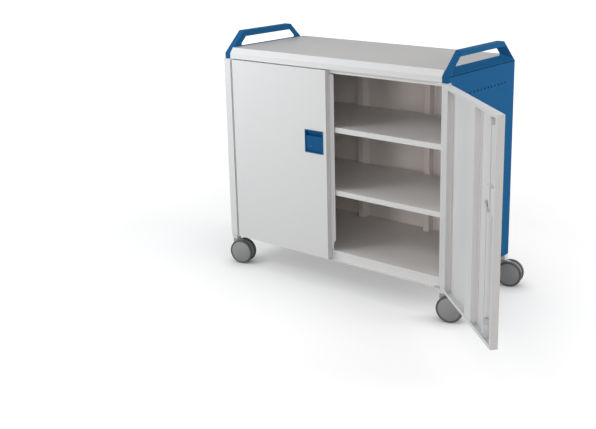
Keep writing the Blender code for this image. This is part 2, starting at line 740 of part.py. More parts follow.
def build_stiffener(door, name, side):
    """Hat section down the middle of the door, between its end folds."""
    skin = SHEET + CLEAR + SHEET / 2
    top = DOOR_THICKNESS - SHEET - CLEAR - SHEET / 2
    start, end = STIFFENER_START + SHEET / 2, STIFFENER_START + STIFFENER_WIDTH - SHEET / 2
    line = [
        (start - STIFFENER_FLANGE, skin),
        (start, skin),
        (start, top),
        (end, top),
        (end, skin),
        (end + STIFFENER_FLANGE, skin),
    ]
    low = DOOR_BOTTOM + SHEET + CLEAR
    high = DOOR_TOP - SHEET - CLEAR
    points = [door_point(side, u, y, low) for u, y in line]
    mesh = strip_mesh(name, points, (0, 0, high - low))
    hat = part(name, mesh, powder_coat(name), door)
    solidify(hat, offset=0.0)


def build_pull(door, name, side):
    """Recessed pull: a rim in front of the door, a grip plate and a finger pocket behind its upper edge."""
    high = PULL_BOTTOM + PULL_SIZE
    rim_near = door_point(side, PULL_NEAR, -CLEAR - PULL_FLANGE, PULL_BOTTOM)
    rim_far = door_point(side, PULL_FAR, -CLEAR, high)
    pull = part(name, box_mesh(name, rim_near, rim_far), blue_coat(name), door)
    near = door_point(side, PULL_NEAR + PULL_RIM, -CLEAR - PULL_FLANGE / 2, PULL_BOTTOM + PULL_RIM)
    far = door_point(side, PULL_FAR - PULL_RIM, PULL_BODY, high - PULL_RIM)
    combine(pull, box_mesh(name + "_body", near, far), operation="UNION")
    mouth = -CLEAR - PULL_FLANGE - HINGE_Y
    low, top = PULL_BOTTOM + POCKET_BORDER, high - POCKET_BORDER
    grip = high - PLATE_DROP
    plate = PLATE_FACE - HINGE_Y
    pocket = [
        (mouth - PULL_FLANGE, low),
        (plate + PLATE_TURN, low),
        (plate, low + PLATE_TURN_HEIGHT),
        (plate, grip),
        (POCKET_DEPTH - HINGE_Y, grip),
        (POCKET_TOP - HINGE_Y, top),
        (mouth - PULL_FLANGE, top),
    ]
    start, end = -side * (PULL_NEAR + POCKET_BORDER), -side * (PULL_FAR - POCKET_BORDER)
    combine(pull, outline_mesh(name + "_pocket", [pocket], IN_YZ, start, end))
    hole = round_mesh(name + "_lock_hole", PLUG_RADIUS + CLEAR, -PULL_BODY, 2 * PULL_BODY, "Y")
    combine(pull, hole, door_point(side, LOCK_U, 0, LOCK_Z))


def turned(name, profile, material, parent, steps):
    """A turned piece about its local Z, from a half section that starts and ends on the axis."""
    bm = bmesh.new()
    verts = [bm.verts.new((r, 0, z)) for r, z in profile]
    for pair in zip(verts, verts[1:]):
        bm.edges.new(pair)
    mesh = bpy.data.meshes.new(name)
    bm.to_mesh(mesh)
    bm.free()
    thing = part(name, mesh, material, parent)
    screw = thing.modifiers.new("turn", "SCREW")
    screw.steps = steps
    screw.render_steps = steps
    screw.use_merge_vertices = True
    screw.merge_threshold = WELD
    return thing


def build_lock(lock, word, side):
    """Plug and cam, drawn about the lock's axis: y from the face of the door, as it hangs closed."""
    front, shoulder, tail = PLATE_FACE - PLUG_PROUD, PULL_BODY + CLEAR, CAM_FRONT - CLEAR
    section = [
        (0, -front),
        (PLUG_RADIUS, -front),
        (PLUG_RADIUS, -shoulder),
        (PLUG_TAIL, -shoulder),
        (PLUG_TAIL, -tail),
        (0, -tail),
    ]
    name = word + "_lock_plug"
    plug = turned(name, section, bare_steel(name), lock, PLUG_STEPS)
    plug.rotation_euler.x = math.pi / 2
    name = word + "_lock_cam"
    start = math.radians(CAM_START)
    pins = [(-side * hand * CAM_ARM * math.cos(start), hand * CAM_ARM * math.sin(start)) for hand in (1, -1)]
    aim = math.degrees(math.atan2(pins[0][1], pins[0][0]))
    outline = arc(pins[0], CAM_HALF_WIDTH, aim - 90, aim + 90)
    outline += arc(pins[1], CAM_HALF_WIDTH, aim + 90, aim + 270)
    mesh = outline_mesh(name, [outline], IN_XZ, -CAM_FRONT, -CAM_FRONT - CAM_THICKNESS)
    cam = part(name, mesh, bare_steel(name), lock)
    for x, z in pins:
        pin = round_mesh(name + "_pin", CAM_PIN, ROD_FRONT, CAM_FRONT + CAM_THICKNESS / 2, "Y", PIN_SIDES)
        combine(cam, pin, (x, 0, z), "UNION")


def build_rod(door, name, side, hand):
    """Flat bar from the cam to the end of the door: hand +1 goes up and -1 down."""
    u = LOCK_U + hand * ROD_OFFSET
    head = LOCK_Z - hand * CAM_RISE
    tip = DOOR_TOP - ROD_END_INSET if hand > 0 else DOOR_BOTTOM + ROD_END_INSET
    wide, half = ROD_HEAD_WIDTH / 2, ROD_WIDTH / 2
    foot, neck = head - hand * ROD_HEAD_HEIGHT / 2, head + hand * ROD_HEAD_HEIGHT / 2
    outline = [
        (-wide, foot),
        (wide, foot),
        (wide, neck),
        (half, neck),
        (half, tip),
        (-half, tip),
        (-half, neck),
        (-wide, neck),
    ]
    reach = CAM_ARM - ROD_OFFSET + CAM_PIN + CLEAR
    below, above = head - CAM_PIN - PIN_PLAY, head + CAM_PIN + PIN_PLAY
    slot = [(-reach, below), (reach, below), (reach, above), (-reach, above)]
    loops = [[(-side * u + x, z) for x, z in loop] for loop in (outline, slot)]
    mesh = outline_mesh(name, loops, IN_XZ, HINGE_Y - ROD_FRONT, HINGE_Y - ROD_BACK)
    part(name, mesh, bare_steel(name), door)


def build_guide(door, name, side, hand):
    """Bridge on the door's inner face that a rod slides through."""
    u = LOCK_U + hand * ROD_OFFSET
    half = ROD_WIDTH / 2 + GUIDE_CLEAR + SHEET / 2
    foot = half + GUIDE_FLANGE
    skin = SHEET + CLEAR + SHEET / 2
    top = ROD_BACK + GUIDE_CLEAR + SHEET / 2
    middle = DOOR_TOP - GUIDE_FROM_TOP if hand > 0 else DOOR_BOTTOM + GUIDE_FROM_BOTTOM
    line = [(-foot, skin), (-half, skin), (-half, top), (half, top), (half, skin), (foot, skin)]
    low = middle - GUIDE_HEIGHT / 2
    points = [door_point(side, u + x, y, low) for x, y in line]
    guide = part(name, strip_mesh(name, points, (0, 0, GUIDE_HEIGHT)), bare_steel(name), door)
    solidify(guide, offset=0.0)


def build_closing_strip(door, name, side):
    """Flat strip behind the left door's free edge, notched at its foot."""
    near, far = DOOR_REACH - STRIP_OVER_LEFT, DOOR_REACH + STRIP_OVER_RIGHT
    low, high = FLOOR + STRIP_END_GAP, TOP_RAIL_BOTTOM - STRIP_END_GAP
    narrow = far - STRIP_NOTCH
    corner = STRIP_NOTCH / 2
    outline = [
        (near, low),
        (narrow, low),
        (narrow, low + STRIP_NOTCH_HEIGHT),
        (far, low + STRIP_NOTCH_HEIGHT + STRIP_SLOPE),
        *arc((far - corner, high - corner), corner, 0, 90),
        (near, high),
    ]
    points = [(-side * u, z) for u, z in outline]
    start = DOOR_THICKNESS - HINGE_Y + CLEAR
    mesh = outline_mesh(name, [points], IN_XZ, -start, -start - STRIP_THICKNESS)
    part(name, mesh, powder_coat(name), door)


def build_door(root, word, side, turn):
    door = empty(word + "_door_hinge", root, (side * HINGE_X, HINGE_Y, 0), turn)
    build_shell(door, word + "_door_shell", side)
    build_stile(door, word + "_hinge_stile", side)
    build_stiffener(door, word + "_door_stiffener", side)
    build_pull(door, word + "_pull", side)
    lock = empty(word + "_lock_axis", door, door_point(side, LOCK_U, 0, LOCK_Z))
    build_lock(lock, word, side)
    for end, hand in (("upper", 1), ("lower", -1)):
        build_rod(door, word + "_" + end + "_rod", side, hand)
        build_guide(door, word + "_" + end + "_rod_guide", side, hand)
    return door, lock


# Castors, each drawn from its swivel axis: the axle trails towards +X

def build_socket(root, name, x, y, seat):
    """Block that takes the castor's stem, under the end panel or, in front, under the lower hinge plate."""
    half = SOCKET_SIZE / 2
    low = (x - half, y - half, SOCKET_BOTTOM)
    high = (x + half, y + half, seat - CLEAR)
    block = part(name, box_mesh(name, low, high), powder_coat(name), root)
    soften(block, SOCKET_EDGE)
    bore = STEM_RADIUS + AXLE_CLEAR
    top = SOCKET_BOTTOM + STEM_IN_SOCKET + CLEAR
    combine(block, round_mesh(name + "_bore", bore, SOCKET_BOTTOM - SHEET, top, "Z"), (x, y, 0))


def wheel_profile():
    """Half section of a twin-castor wheel, from the middle of its face round to the blind bore."""
    face, rim = WHEEL_WIDTH, WHEEL_RADIUS
    bore, end = AXLE_RADIUS + AXLE_CLEAR, AXLE_IN_WHEEL + CLEAR
    front = [(share * rim, face - depth) for share, depth in WHEEL_FACE]
    inner = [(rim, WHEEL_INNER_EDGE), (WHEEL_INNER_SHARE * rim, 0.0)]
    return front + inner + [(bore, 0.0), (bore, end), (0.0, end)]


def build_wheel(castor, name, hand):
    """A turned wheel that stands on a flat; hand -1 is in front of the hood and +1 behind it."""
    plastic = finish(name + "_plastic", WHEEL_GREY, PLASTIC_ROUGHNESS)
    wheel = turned(name, wheel_profile(), plastic, castor, WHEEL_STEPS)
    wheel.location = (CASTOR_TRAIL, hand * (HOOD_THICKNESS / 2 + CLEAR), AXLE_HEIGHT)
    wheel.rotation_mode = "ZYX"
    wheel.rotation_euler = (-hand * math.pi / 2, 0, math.pi / WHEEL_STEPS)


def build_castor(root, word, x, y, seat, turn):
    build_socket(root, word + "_castor_socket", x, y, seat)
    castor = empty(word + "_castor_swivel", root, (x, y, 0), turn)
    axle = (CASTOR_TRAIL, AXLE_HEIGHT)
    outline = [
        (-STEM_BOSS, HOOD_TOP),
        (-STEM_BOSS, HOOD_TOP - HOOD_NECK),
        *arc(axle, AXLE_BOSS, *AXLE_BOSS_ARC),
        *arc(axle, HOOD_RADIUS, *HOOD_ARC),
        (STEM_BOSS, HOOD_TOP),
    ]
    name = word + "_castor_hood"
    half = HOOD_THICKNESS / 2
    mesh = outline_mesh(name, [outline], IN_XZ, -half, half)
    hood = part(name, mesh, finish(name + "_plastic", HOOD_GREY, PLASTIC_ROUGHNESS), castor)
    reach = half + CLEAR + AXLE_IN_WHEEL
    pin = round_mesh(name + "_axle", AXLE_RADIUS, -reach, reach, "Y")
    combine(hood, pin, (CASTOR_TRAIL, 0, AXLE_HEIGHT), "UNION")
    stem_top = SOCKET_BOTTOM + STEM_IN_SOCKET
    stem = round_mesh(name + "_stem", STEM_RADIUS, HOOD_TOP - STEM_BOSS / 2, stem_top, "Z")
    combine(hood, stem, operation="UNION")
    build_wheel(castor, word + "_near_wheel", -1)
    build_wheel(castor, word + "_far_wheel", 1)
    return castor


def build_cabinet():
    root = empty("cabinet_root")
    build_floor_tray(root)
    build_back_panel(root)
    build_worktop(root)
    build_top_rail(root)
    for word, side in (("left", -1), ("right", 1)):
        build_end_panel(root, word + "_end_panel", side)
        build_handle(root, word + "_handle", side)
        build_front_post(root, word + "_front_post", side)
        build_rear_post(root, word + "_rear_post", side)
        build_upright(root, word + "_rear_upright", side * INSIDE / 3)
        build_liner(root, word + "_side_liner", side)
        build_hinge(root, word + "_upper_hinge", side, True)
        build_hinge(root, word + "_lower_hinge", side, False)
    for name, top in SHELF_TOPS.items():
        build_shelf(root, name, top)
    left, left_lock = build_door(root, "left", -1, 0.0)
    right, right_lock = build_door(root, "right", 1, RIGHT_DOOR_OPENING)
    build_closing_strip(left, "left_closing_strip", -1)
    castors = []
    for word, turn in CASTOR_TURN.items():
        x = CASTOR_X if word.endswith("right") else -CASTOR_X
        y, seat = CASTOR_BACK, PANEL_BOTTOM
        if word.startswith("front"):
            y, seat = CASTOR_FRONT, TRAY_BOTTOM
        castors.append(build_castor(root, word, x, y, seat, math.radians(turn)))
    return root, [left, right, left_lock, right_lock, *castors]


def settle(root):
    """Put the origin on the floor, under the middle of the part's bounding box."""
    bpy.context.view_layer.update()
    graph = bpy.context.evaluated_depsgraph_get()
    corners = []
    for thing in PARTS.objects:
        if thing.type == "MESH":
            shape = thing.evaluated_get(graph).to_mesh()
            corners += [thing.matrix_world @ v.co for v in shape.vertices]
    low = [min(c[i] for c in corners) for i in range(3)]
    high = [max(c[i] for c in corners) for i in range(3)]
    root.location = (-(low[0] + high[0]) / 2, -(low[1] + high[1]) / 2, -low[2])
    bpy.context.view_layer.update()


cabinet, moving = build_cabinet()
settle(cabinet)
for holder in [cabinet, *moving]:
    place = holder.matrix_world.translation
    print(holder.name, [round(c, 5) for c in place])
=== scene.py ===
# %% [markdown]
# # A mobile storage cabinet, dressed for its picture
#
# The steel cabinet already exists as a set of exact solids: panels, doors, shelves, locks and castors.
# This lesson gives them their looks.  The solids are loaded first and are never moved or resized, so
# whatever is added here takes its place from them.

# %% Load the solids and measure them
import json
import math

import bmesh
import bpy
from mathutils import Matrix, Vector


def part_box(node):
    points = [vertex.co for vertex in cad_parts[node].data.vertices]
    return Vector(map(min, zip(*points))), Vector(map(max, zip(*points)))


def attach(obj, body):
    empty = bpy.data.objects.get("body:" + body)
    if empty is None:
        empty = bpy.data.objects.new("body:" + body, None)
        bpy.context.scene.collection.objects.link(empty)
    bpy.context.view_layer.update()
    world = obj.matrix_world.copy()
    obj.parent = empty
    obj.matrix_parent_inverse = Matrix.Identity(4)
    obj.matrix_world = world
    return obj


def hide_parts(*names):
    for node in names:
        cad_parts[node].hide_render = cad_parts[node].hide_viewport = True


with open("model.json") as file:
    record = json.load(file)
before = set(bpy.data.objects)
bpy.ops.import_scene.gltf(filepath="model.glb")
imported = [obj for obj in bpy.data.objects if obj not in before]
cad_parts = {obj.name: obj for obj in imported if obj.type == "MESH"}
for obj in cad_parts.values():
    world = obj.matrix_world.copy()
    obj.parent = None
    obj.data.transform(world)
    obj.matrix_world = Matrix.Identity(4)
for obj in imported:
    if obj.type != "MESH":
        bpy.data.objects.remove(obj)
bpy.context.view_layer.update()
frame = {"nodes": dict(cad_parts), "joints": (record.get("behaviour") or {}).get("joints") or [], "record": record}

nodes = frame["nodes"]
record = frame["record"]
joints = {joint["name"]: joint for joint in frame["joints"]}
slot_of = {row["node"]: row["material_slot"] for row in record["subparts"]}
body_of = {node: body for body, held in record["behaviour"]["bodies"].items() for node in held}

# %% [markdown]
# The cabinet's own reference point is the floor under the middle of its front: halfway between the
# two end panels, in the plane of the closed door.  Places that belong to the cabinet as a whole,
# such as the camera's and the lamps', are measured from there, so they stay right if the solids are
# ever shifted.

# %% Find the cabinet's reference point
left_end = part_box("left_end_panel")
right_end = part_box("right_end_panel")
door_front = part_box("left_door_shell")[0].y
HOME = Vector(((left_end[0].x + right_end[1].x) / 2, door_front, 0.0))
print("home", [round(c, 4) for c in HOME])

# %% [markdown]
# ## The camera
#
# The picture looks down on the cabinet from the front right, from nearly four metres away.
# A camera can be aimed with a Track To constraint, but then its roll is lost.  Here the view is
# given as three turns, yaw, pitch and roll, and the camera's matrix is put together from the three
# directions that they give: right, up and backwards.  The cabinet stands right of the middle of the
# picture, and a small lens shift frames it there without turning the camera.

# %% Place the camera
PICTURE_WIDTH = 596
PICTURE_HEIGHT = 429
SENSOR = 36.0
FOCAL_PIXELS = 979.3
AXIS_PIXEL = (340.0, 180.0)  # where the lens axis meets the picture
YAW = math.radians(38.69)
PITCH = math.radians(15.66)
ROLL = math.radians(-0.80)
CAMERA_STAND = Vector((2.243, -2.724, 1.426))

ahead = Vector((-math.sin(YAW) * math.cos(PITCH), math.cos(YAW) * math.cos(PITCH), -math.sin(PITCH)))
level = Vector((math.cos(YAW), math.sin(YAW), 0.0))
above = level.cross(ahead)
right = math.cos(ROLL) * level + math.sin(ROLL) * above
up = math.cos(ROLL) * above - math.sin(ROLL) * level

lens = bpy.data.cameras.new("picture_camera")
lens.sensor_fit = "HORIZONTAL"
lens.sensor_width = SENSOR
lens.lens = FOCAL_PIXELS / PICTURE_WIDTH * SENSOR
lens.shift_x = (PICTURE_WIDTH / 2 - AXIS_PIXEL[0]) / PICTURE_WIDTH
lens.shift_y = (AXIS_PIXEL[1] - PICTURE_HEIGHT / 2) / PICTURE_WIDTH
camera = bpy.data.objects.new("picture_camera", lens)
turn = Matrix((right, up, -ahead)).transposed().to_4x4()
camera.matrix_world = Matrix.Translation(HOME + CAMERA_STAND) @ turn
bpy.context.scene.collection.objects.link(camera)
bpy.context.scene.camera = camera
print("lens", round(lens.lens, 1), "mm, shift", round(lens.shift_x, 3), round(lens.shift_y, 3))

# %% [markdown]
# ## Writing shader maths as Python
#
# A material is a graph of nodes, and making each node and link by hand takes many lines.  A small
# class can stand for one output socket: adding, subtracting or multiplying makes the Math node in
# between, and either side may be a plain number.  Every other node comes from one method, which is
# told the node's type, its settings and what goes into its sockets.

# %% A class for sockets
class Wire:
    """One output socket of a node tree."""

    def __init__(self, tree, socket=None):
        self.tree = tree
        self.socket = socket

    def node(self, kind, settings=None, inputs=None, output=0):
        """Add a node: its settings first, then values or wires into its sockets."""
        made = self.tree.nodes.new(kind)
        for name, value in (settings or {}).items():
            setattr(made, name, value)
        for name, value in (inputs or {}).items():
            if isinstance(value, Wire):
                self.tree.links.new(value.socket, made.inputs[name])
            else:
                made.inputs[name].default_value = value
        return Wire(self.tree, made.outputs[output] if made.outputs else None)

    def maths(self, operation, first, second):
        """A Math node on two values or wires."""
        return self.node("ShaderNodeMath", {"operation": operation}, {0: first, 1: second})

    def __add__(self, other):
        return self.maths("ADD", self, other)

    def __radd__(self, other):
        return self.maths("ADD", other, self)

    def __sub__(self, other):
        return self.maths("SUBTRACT", self, other)

    def __rsub__(self, other):
        return self.maths("SUBTRACT", other, self)

    def __mul__(self, other):
        return self.maths("MULTIPLY", self, other)

    def __rmul__(self, other):
        return self.maths("MULTIPLY", other, self)


print("sockets can now be added, subtracted and multiplied")

# %% [markdown]
# Each finish starts from the same few parts: a fresh material, the place on the piece in metres,
# noise of a given grain, and a blend of two colours.  Noise is given by the size of its grain,
# because "two millimetres" says more than a scale of five hundred.

# %% Helpers that every finish uses
MIX_FACTOR, MIX_FIRST, MIX_SECOND = 0, 6, 7  # a Mix node's sockets when it mixes colours
MIX_RESULT = 2


def new_finish(name):
    """A fresh material: returns it, its shader node and a wire to work from."""
    made = bpy.data.materials.new(name)
    made.use_nodes = True
    shader = made.node_tree.nodes["Principled BSDF"]
    return made, shader, Wire(made.node_tree)


def place_on(wire, stretch=(1.0, 1.0, 1.0)):
    """Object coordinates in metres, stretched along each axis."""
    spot = wire.node("ShaderNodeTexCoord", output="Object")
    return wire.node("ShaderNodeMapping", {}, {"Vector": spot, "Scale": stretch})


def noise(wire, spot, grain, detail):
    """Noise from 0 to 1 whose lumps are about one grain across, in metres."""
    return wire.node("ShaderNodeTexNoise", {}, {"Vector": spot, "Scale": 1.0 / grain, "Detail": detail})


def blend(wire, mask, first, second):
    """A colour between two colours."""
    sockets = {MIX_FACTOR: mask, MIX_FIRST: first, MIX_SECOND: second}
    return wire.node("ShaderNodeMix", {"data_type": "RGBA"}, sockets, output=MIX_RESULT)


def bump(wire, height, depth):
    """A surface normal from a height map; depth is in metres."""
    return wire.node("ShaderNodeBump", {}, {"Height": height, "Strength": 1.0, "Distance": depth})


def tone(colour, share):
    """A colour made darker or lighter by a share."""
    return (*[min(1.0, c * (1.0 + share)) for c in colour], 1.0)


def connect(wire, shader, **outputs):
    """Link wires to the shader's sockets, whose names are given with _ for a space."""
    for name, value in outputs.items():
        wire.tree.links.new(value.socket, shader.inputs[name.replace("_", " ")])


print("noise, blends and bumps are ready")

# %% [markdown]
# ## Powder coat
#
# Nearly all of the cabinet is sheet steel with a baked powder coat.  Close up it isn't flat: the
# powder flows together into a fine orange peel, the tone drifts a little over a large panel, and the
# gloss varies with it.  A photograph of painted steel could be used, but three sizes of noise do the
# same job at any scale: nearly half a metre for the drift, two millimetres for the peel, and less than
# a millimetre for the specks.

# %% Powder coat
DRIFT_GRAIN = 0.45
SPECK_GRAIN = 0.0009
PEEL_GRAIN = 0.0022
PEEL_DEPTH = 0.00004
DRIFT_SHARE = 0.75  # of the colour's variation; the rest is specks
DRIFT_GLOSS = 0.10
PEEL_GLOSS = 0.06


def powder_coat(name, colour, roughness, drift, shine):
    """Baked paint whose colour varies by a share, the drift, and whose gloss varies round a roughness."""
    made, shader, wire = new_finish(name)
    spot = place_on(wire)
    broad = noise(wire, spot, DRIFT_GRAIN, detail=3.0)
    speck = noise(wire, spot, SPECK_GRAIN, detail=1.0)
    peel = noise(wire, spot, PEEL_GRAIN, detail=2.0)
    mask = broad * DRIFT_SHARE + speck * (1.0 - DRIFT_SHARE)
    shade = blend(wire, mask, tone(colour, -drift), tone(colour, drift))
    least = roughness - (DRIFT_GLOSS + PEEL_GLOSS) / 2
    gloss = broad * DRIFT_GLOSS + peel * PEEL_GLOSS + least
    connect(wire, shader, Base_Color=shade, Roughness=gloss, Normal=bump(wire, peel, PEEL_DEPTH))
    shader.inputs["Specular IOR Level"].default_value = shine
    return made


LIGHT_GREY = (0.70, 0.71, 0.715)
BLUE = (0.0125, 0.104, 0.252)
light_coat = powder_coat("light_coat", LIGHT_GREY, roughness=0.46, drift=0.02, shine=0.45)
blue_coat = powder_coat("blue_coat", BLUE, roughness=0.55, drift=0.05, shine=0.03)
print("coats:", light_coat.name, blue_coat.name)

# %% [markdown]
# Two greys differ from the rest, and both are painted lighting.  The worktop's upper face is a darker grey,
# a painted shade for the weaker light that falls on it.  The faces inside the cabinet look a shade lighter and
# warmer than the doors.  There the light arrives second hand, from other painted faces, and a painted bounce
# light gives that tint more surely than many bounces of light would.

# %% Painted shade for the worktop and painted bounce light for the inside
# a darker grey: painted shade for the weaker light on the worktop's upper face
WORKTOP_SHADE_GREY = (0.475, 0.465, 0.46)
# a lighter, warmer grey: painted bounce light on the faces inside the cabinet
INSIDE_BOUNCE_GREY = (0.79, 0.757, 0.741)
worktop_painted_shade = powder_coat("worktop_painted_shade", WORKTOP_SHADE_GREY, roughness=0.50, drift=0.03, shine=0.35)
inside_bounce_light = powder_coat("inside_bounce_light", INSIDE_BOUNCE_GREY, roughness=0.46, drift=0.02, shine=0.45)
print("coats:", worktop_painted_shade.name, inside_bounce_light.name)

# %% [markdown]
# ## Moulded plastic and rubber
#
# The handles, the pulls, the castor hoods and the wheel centres are moulded plastic.  A mould is spark
# eroded, which leaves an even fine texture, and the plastic's colour is the same right through, so its
# tone hardly varies.  The treads are softer and duller: dark grey with a dusty bloom.  One function with
# two sizes of noise makes them all, and they differ only in colour, gloss and depth of texture.

# %% Plastics
CLOUD_GRAIN = 0.06
TEXTURE_GRAIN = 0.0007
CLOUD_SHARE = 0.8  # of the colour's variation; the rest is texture
CLOUD_GLOSS = 0.08
TEXTURE_GLOSS = 0.12
PLASTIC_DRIFT = 0.07
MOULD_DEPTH = 0.00003
RUBBER_DEPTH = 0.00006


def moulded(name, colour, roughness, depth, shine):
    """Plastic or rubber with a fine texture of a depth in metres."""
    made, shader, wire = new_finish(name)
    spot = place_on(wire)
    cloud = noise(wire, spot, CLOUD_GRAIN, detail=3.0)
    texture = noise(wire, spot, TEXTURE_GRAIN, detail=2.0)
    mask = cloud * CLOUD_SHARE + texture * (1.0 - CLOUD_SHARE)
    shade = blend(wire, mask, tone(colour, -PLASTIC_DRIFT), tone(colour, PLASTIC_DRIFT))
    least = roughness - (CLOUD_GLOSS + TEXTURE_GLOSS) / 2
    gloss = texture * TEXTURE_GLOSS + cloud * CLOUD_GLOSS + least
    connect(wire, shader, Base_Color=shade, Roughness=gloss, Normal=bump(wire, texture, depth))
    shader.inputs["Specular IOR Level"].default_value = shine
    return made


HOOD_GREY = (0.40, 0.41, 0.41)
DISC_GREY = (0.285, 0.295, 0.298)
TREAD_GREY = (0.105, 0.108, 0.108)
blue_plastic = moulded("blue_plastic", BLUE, roughness=0.55, depth=MOULD_DEPTH, shine=0.03)
hood_plastic = moulded("hood_plastic", HOOD_GREY, roughness=0.50, depth=MOULD_DEPTH, shine=0.4)
disc_plastic = moulded("disc_plastic", DISC_GREY, roughness=0.48, depth=MOULD_DEPTH, shine=0.4)
tread_rubber = moulded("tread_rubber", TREAD_GREY, roughness=0.62, depth=RUBBER_DEPTH, shine=0.3)
print("plastics:", blue_plastic.name, hood_plastic.name, disc_plastic.name, tread_rubber.name)

# %% [markdown]
# ## Zinc plated steel
#
# The lock cams and the hinge plates are zinc plated.  Zinc is a metal, so its colour lies in its
# reflection, and it shows a faint spangle and the fine lines of the rolled strip that such parts are cut
# from.  The lines come from noise that is drawn out upwards.

# %% Zinc plate
SPANGLE_GRAIN = 0.006
LINE_GRAIN = 0.0006
LINE_STRETCH = (1.0, 1.0, 0.04)  # a small scale draws the noise out
LINE_DEPTH = 0.00002
LINE_GLOSS = 0.16
SPANGLE_GLOSS = 0.10
SPANGLE_DARK = -0.12
SPANGLE_LIGHT = 0.10


def zinc_plate(name, colour, roughness):
    """Plated steel with a spangle and fine upright lines."""
    made, shader, wire = new_finish(name)
    spangle = noise(wire, place_on(wire), SPANGLE_GRAIN, detail=2.0)
    lines = noise(wire, place_on(wire, LINE_STRETCH), LINE_GRAIN, detail=1.0)
    shade = blend(wire, spangle, tone(colour, SPANGLE_DARK), tone(colour, SPANGLE_LIGHT))
    least = roughness - (LINE_GLOSS + SPANGLE_GLOSS) / 2
    gloss = lines * LINE_GLOSS + spangle * SPANGLE_GLOSS + least
    connect(wire, shader, Base_Color=shade, Roughness=gloss, Normal=bump(wire, lines, LINE_DEPTH))
    shader.inputs["Metallic"].default_value = 1.0
    return made


ZINC_GREY = (0.58, 0.58, 0.59)
zinc_steel = zinc_plate("zinc_steel", ZINC_GREY, roughness=0.36)
print("metal:", zinc_steel.name)

# %% [markdown]
# Each solid names the slot that its material belongs to.  A table from slots to finishes dresses all of
# them at once, so that a piece which gets no further work is finished too.

# %% Dress the solids
finishes = {
    "light_coat": light_coat,
    "blue_coat": blue_coat,
    "blue_plastic": blue_plastic,
    "zinc_steel": zinc_steel,
    "wheel_plastic": disc_plastic,
    "hood_plastic": hood_plastic,
}
for node, thing in nodes.items():
    thing.data.materials.clear()
    thing.data.materials.append(finishes[slot_of[node]])
print("finished", len(nodes), "solids with", len(finishes), "finishes")

# %% [markdown]
# ## Turning a mesh into a piece
#
# Every new piece is built in a bmesh and ends the same way: doubled points are merged, the faces are
# turned outwards, and the mesh becomes an object at the origin that rides on one of the bodies.

# %% A helper that finishes a piece
SMOOTH_ANGLE = math.radians(38)
DOUBLED = 1e-6  # points nearer than this are one
pieces = []


def make_piece(name, bm, finish, body, slot, *stands_for):
    """Close a bmesh into an object that rides on a body, in place of the solids it stands for."""
    bmesh.ops.remove_doubles(bm, verts=bm.verts, dist=DOUBLED)
    bmesh.ops.recalc_face_normals(bm, faces=bm.faces)
    mesh = bpy.data.meshes.new(name)
    bm.to_mesh(mesh)
    bm.free()
    mesh.materials.append(finish)
    mesh.shade_smooth()
    mesh.set_sharp_from_angle(angle=SMOOTH_ANGLE)
    thing = bpy.data.objects.new(name, mesh)
    bpy.context.scene.collection.objects.link(thing)
    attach(thing, body)
    if stands_for:
        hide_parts(*stands_for)
    pieces.append(thing)
    return thing


print("pieces can be made")

# %% [markdown]
# ## Eased edges
#
# The solids have knife edges, and no folded sheet has.  A real fold is about as round as the sheet is
# thick, and the eye knows it by the thin bright line that runs along it.  Each painted solid is copied,
# its flat faces are joined up again, and its long edges are bevelled.  A Weighted Normal modifier then
# keeps the flat faces flat, so that only the bevels catch the light.  The rods and their guides are
# painted with the door.  The uprights, the side liners and the rear posts get the lighter, warmer grey of
# the inside, which is painted bounce light.

# %% Ease the edges of the painted and moulded solids
FOLD_ANGLE = math.radians(35)
FLAT_ANGLE = math.radians(0.5)
SHORTEST_FOLD = 0.006
SHEET_EASE = 0.0006
ROD_EASE = 0.0004
HOOD_EASE = 0.0015
EASE_STEPS = 2
ROUND_PROFILE = 0.5
JOINED = 1e-5  # points of a solid nearer than this are one
PAINTED_WITH_DOOR = ("_rod", "_rod_guide")
INSIDE_ONLY = ("_upright", "_side_liner", "_rear_post")
looks = {node: light_coat for node in nodes if node.endswith(PAINTED_WITH_DOOR)}
# the pieces wholly inside take the painted bounce light of the inside
looks.update({node: inside_bounce_light for node in nodes if node.endswith(INSIDE_ONLY)})


def eased(node, width):
    """A copy of a solid with its long edges rounded, which stands for the solid."""
    bm = bmesh.new()
    bm.from_mesh(nodes[node].data)
    bmesh.ops.remove_doubles(bm, verts=bm.verts, dist=JOINED)
    bmesh.ops.dissolve_limit(bm, angle_limit=FLAT_ANGLE, verts=bm.verts, edges=bm.edges)
    folds = []
    for edge in bm.edges:
        if edge.is_manifold and edge.calc_face_angle() > FOLD_ANGLE and edge.calc_length() > SHORTEST_FOLD:
            folds.append(edge)
    bmesh.ops.bevel(
        bm, geom=folds, offset=width, offset_type="OFFSET", affect="EDGES", segments=EASE_STEPS,
        profile=ROUND_PROFILE, material=-1, clamp_overlap=True,
    )
    slot = slot_of[node]
    piece = make_piece(node + "_eased", bm, looks.get(node, finishes[slot]), body_of[node], slot, node)
    weight = piece.modifiers.new("flat faces stay flat", "WEIGHTED_NORMAL")
    weight.keep_sharp = True


ease_widths = {
    "light_coat": SHEET_EASE,
    "blue_coat": SHEET_EASE,
    "blue_plastic": SHEET_EASE,
    "hood_plastic": HOOD_EASE,
}
for node in sorted(nodes):
    if slot_of[node] in ease_widths or node in looks:
        eased(node, ease_widths.get(slot_of[node], ROD_EASE))
print("eased", len(pieces), "solids")

# %% [markdown]
# On some sheets one face gets painted lighting: painted shade on the worktop's top, and painted bounce
# light on the upper faces of the shelves and the floor tray and on the face of the back panel that looks
# into the cabinet.  The piece gets a second material, and the faces that look the right way are given it.

# %% Paint lighting on single faces
UPWARDS = Vector((0.0, 0.0, 1.0))
FORWARDS = Vector((0.0, -1.0, 0.0))
SQUARE_ON = 0.99  # least cosine at which a face looks a way


